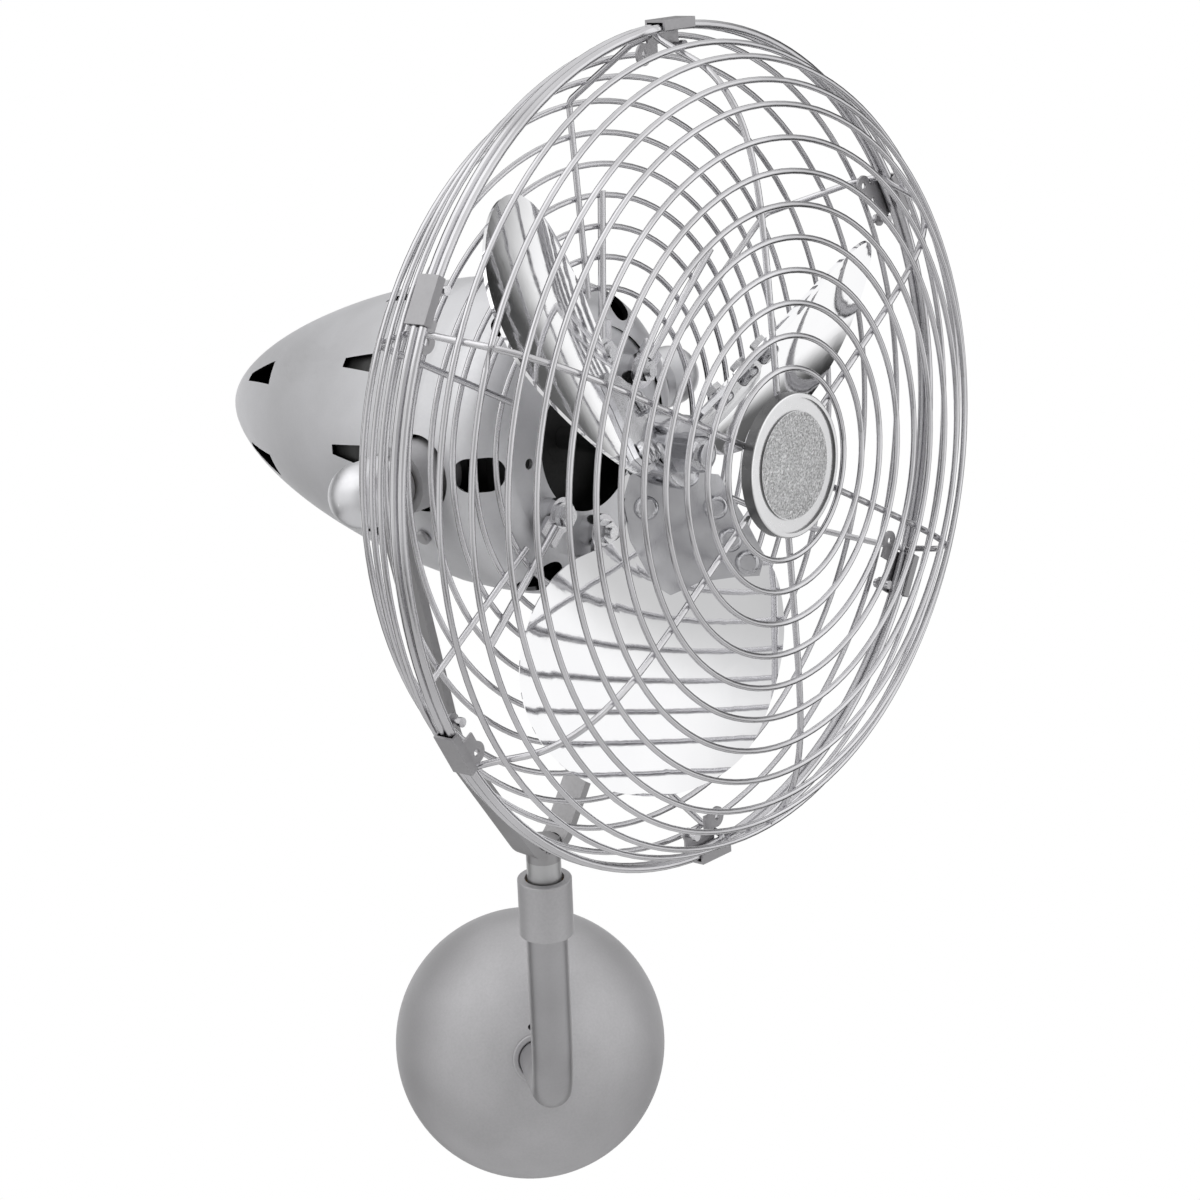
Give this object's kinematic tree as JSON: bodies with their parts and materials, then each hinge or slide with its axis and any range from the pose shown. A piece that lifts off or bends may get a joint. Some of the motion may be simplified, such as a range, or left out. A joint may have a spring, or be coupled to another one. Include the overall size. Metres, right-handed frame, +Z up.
{
  "type": "wall mounted fan",
  "caption": "Wall mounted cage fan on a bent arm: a domed wall canopy, a swivel collar, a tilting yoke, a bullet motor housing and three metal blades in a round wire cage.",
  "frame": {"origin": "centre of the wall plate's back face, on the wall", "axes": "+Z up, +Y into the wall, the arm leaves along -Y"},
  "size_m": [0.3818, 0.6195, 0.6254],
  "materials": {
    "satin_nickel": "satin brushed",
    "polished_post": "polished",
    "wire_chrome": "bright plated wire",
    "blade_chrome": "mirror polished",
    "cast_chrome": "plated casting",
    "pewter": "dark satin",
    "zinc_steel": "zinc plated",
    "bronze": "oiled",
    "friction_fibre": "matte",
    "lamination_steel": "bare",
    "copper_winding": "enamelled",
    "cast_aluminium": "as cast",
    "black_plastic": "matte"
  },
  "bodies": {
    "wall_mount": {"wall_plate": "zinc_steel", "arm_socket": "zinc_steel", "socket_screws": "zinc_steel", "arm_set_screw": "zinc_steel", "canopy": "satin_nickel", "canopy_screws": "satin_nickel", "arm_ring": "satin_nickel", "arm_tube": "satin_nickel", "collar": "satin_nickel", "swivel_bushing": "bronze", "swivel_screw": "zinc_steel"},
    "yoke": {"yoke": "satin_nickel", "swivel_post": "polished_post", "post_ring": "zinc_steel", "post_nut": "zinc_steel", "pivot_washers": "friction_fibre"},
    "head": {"rear_shell": "satin_nickel", "front_cup": "satin_nickel", "shell_screws": "satin_nickel", "pivot_barrel_left": "satin_nickel", "pivot_barrel_right": "satin_nickel", "pivot_studs": "zinc_steel", "motor_cradle": "zinc_steel", "motor_stator": "lamination_steel", "motor_windings": "copper_winding", "front_end_bell": "cast_aluminium", "rear_end_bell": "cast_aluminium", "front_bearing": "zinc_steel", "rear_bearing": "zinc_steel", "motor_bolts": "zinc_steel", "wiring_cover": "black_plastic", "capacitor_holder": "black_plastic", "capacitor": "black_plastic", "face_spacers": "zinc_steel", "face_studs": "zinc_steel", "lug_spacers": "zinc_steel", "cage_nuts": "zinc_steel", "front_grille": "wire_chrome", "rear_grille": "wire_chrome", "rim_clips": "wire_chrome", "clip_pins": "wire_chrome", "medallion": "pewter", "spoke_clamp": "zinc_steel", "medallion_screw": "zinc_steel"},
    "knob_left": {"knob_left": "satin_nickel"},
    "knob_right": {"knob_right": "satin_nickel"},
    "rotor": {"rotor_core": "lamination_steel", "rotor_shaft": "zinc_steel", "hub": "cast_chrome", "hub_screw": "zinc_steel", "hub_nut": "cast_chrome", "blade_a": "blade_chrome", "blade_b": "blade_chrome", "blade_c": "blade_chrome", "blade_screws": "cast_chrome", "blade_nuts": "zinc_steel"}
  },
  "joints": [
    {"name": "swivel", "type": "hinge", "parent": "wall_mount", "child": "yoke", "pos_m": [-0.00783, -0.28794, 0.11083], "axis": [-0.0652, -0.3778, 0.9236], "range_deg": [-134, 45]},
    {"name": "tilt", "type": "hinge", "parent": "yoke", "child": "head", "pos_m": [-0.02494, -0.38705, 0.35308], "axis": [0.6897, 0.6518, 0.3154], "range_deg": [-35, 15]},
    {"name": "knob_left_turn", "type": "hinge", "parent": "head", "child": "knob_left", "pos_m": [-0.10425, -0.46201, 0.31681], "axis": [-0.6897, -0.6518, -0.3154], "range_deg": [0, 360]},
    {"name": "knob_right_turn", "type": "hinge", "parent": "head", "child": "knob_right", "pos_m": [0.05438, -0.31209, 0.38935], "axis": [0.6897, 0.6518, 0.3154], "range_deg": [0, 360]},
    {"name": "fan_spin", "type": "hinge", "parent": "head", "child": "rotor", "pos_m": [0.04288, -0.45214, 0.33931], "axis": [0.7138, -0.6852, -0.1449], "continuous": true}
  ]
}
